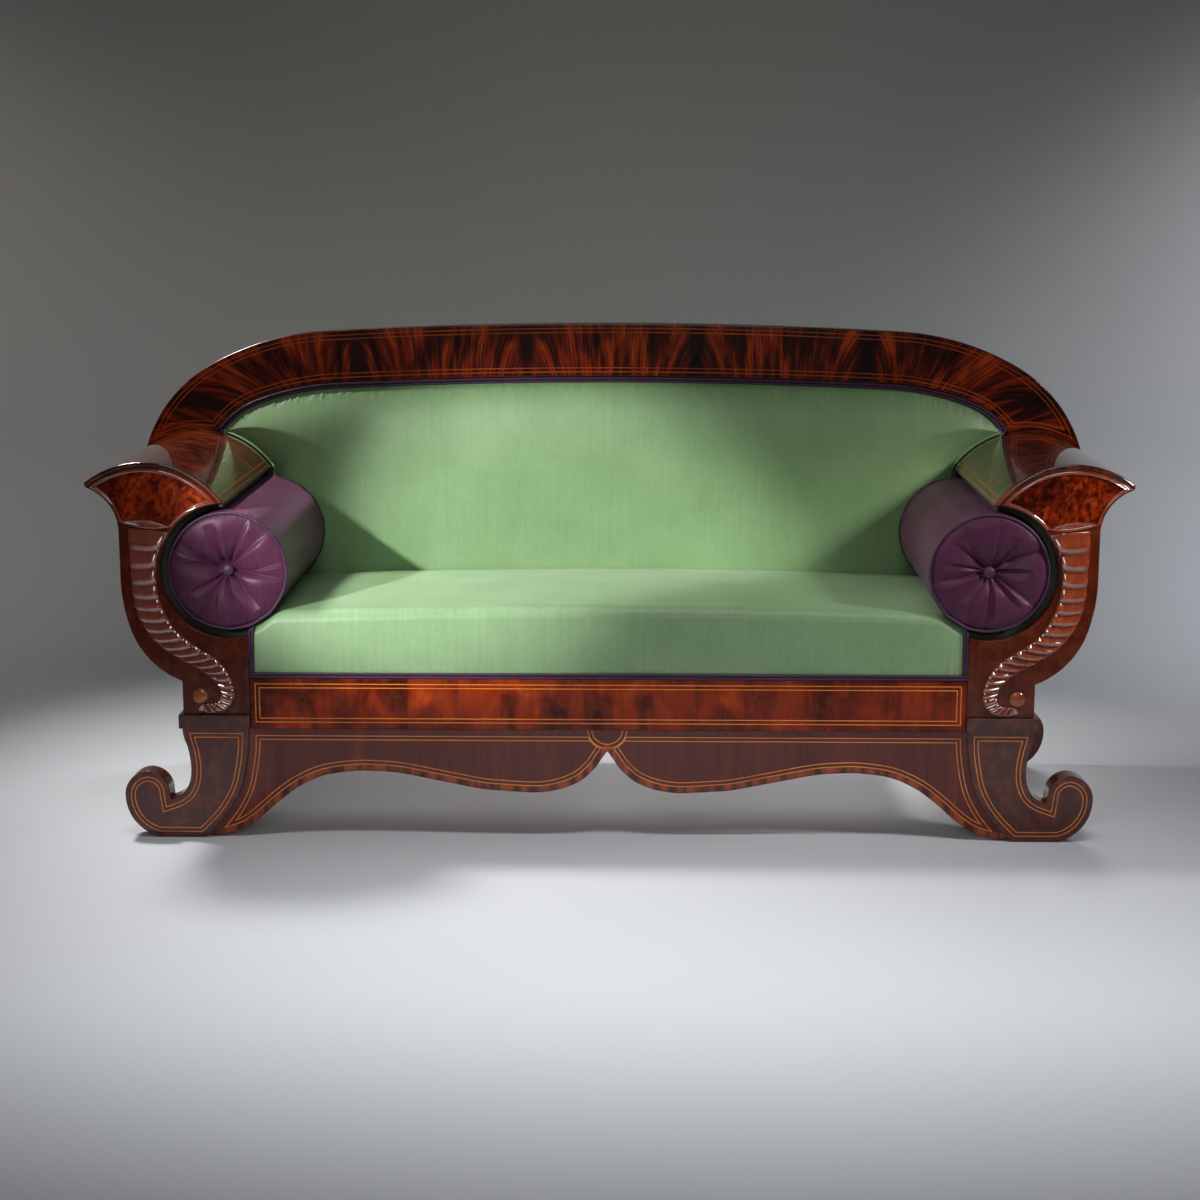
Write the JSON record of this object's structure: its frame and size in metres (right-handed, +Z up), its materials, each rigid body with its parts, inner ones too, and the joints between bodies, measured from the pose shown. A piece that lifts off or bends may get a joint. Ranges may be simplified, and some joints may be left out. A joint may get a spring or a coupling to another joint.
{
  "type": "sofa",
  "caption": "Mahogany sofa with an arched crest, scroll-over arms with carved fluted horns, scroll feet, a shaped apron and loose bolsters.",
  "frame": {"origin": "centre of the footprint on the floor", "axes": "+Z up, front towards -Y, +X to the right seen from the front"},
  "size_m": [2.11, 0.63, 1.02],
  "materials": {
    "mahogany": "polished",
    "beech": "bare",
    "boxwood": "polished",
    "green_satin": "satin weave",
    "aubergine_satin": "satin weave",
    "jute": "woven",
    "steel": "plain"
  },
  "bodies": {
    "frame": {"seat_rail_front": "mahogany", "seat_rail_rear": "beech", "seat_side_rail_left": "beech", "seat_side_rail_right": "beech", "seat_braces": "beech", "corner_blocks": "beech", "block_screws": "steel", "apron": "mahogany", "apron_blocks": "beech", "apron_dowels": "beech", "foot_front_left": "mahogany", "foot_front_right": "mahogany", "foot_rear_left": "mahogany", "foot_rear_right": "mahogany", "cap_blocks_front": "mahogany", "cap_blocks_rear": "mahogany", "plinth_mouldings": "mahogany", "arm_board_left": "mahogany", "arm_board_right": "mahogany", "arm_rail_left": "mahogany", "arm_rail_right": "mahogany", "arm_panel_left": "mahogany", "arm_panel_right": "mahogany", "arm_top_left": "mahogany", "arm_top_right": "mahogany", "arm_battens": "beech", "arm_hessian": "jute", "arm_pad_left": "green_satin", "arm_pad_right": "green_satin", "arm_piping": "aubergine_satin", "fan_panel_left": "mahogany", "fan_panel_right": "mahogany", "fan_moulding_left": "mahogany", "fan_moulding_right": "mahogany", "horn_left": "mahogany", "horn_right": "mahogany", "horn_bosses": "mahogany", "back_stile_left": "mahogany", "back_stile_right": "mahogany", "crest_rail": "mahogany", "crest_dowels": "beech", "back_rail_lower": "beech", "back_uprights": "beech", "back_webbing": "jute", "back_cushion": "green_satin", "back_piping": "aubergine_satin", "outside_back": "green_satin", "seat_webbing": "jute", "seat_hessian": "jute", "seat_cushion": "green_satin", "seat_piping": "aubergine_satin", "crest_stringing": "boxwood", "front_stringing": "boxwood", "arm_stringing": "boxwood"},
    "bolster_left": {"bolster_left": "aubergine_satin", "bolster_piping_left": "aubergine_satin", "bolster_buttons_left": "aubergine_satin"},
    "bolster_right": {"bolster_right": "aubergine_satin", "bolster_piping_right": "aubergine_satin", "bolster_buttons_right": "aubergine_satin"}
  },
  "joints": [
    {"name": "bolster_left_pull", "type": "slide", "parent": "frame", "child": "bolster_left", "axis": [0, -1, 0], "range_m": [0, 0.58]},
    {"name": "bolster_right_pull", "type": "slide", "parent": "frame", "child": "bolster_right", "axis": [0, -1, 0], "range_m": [0, 0.58]}
  ]
}
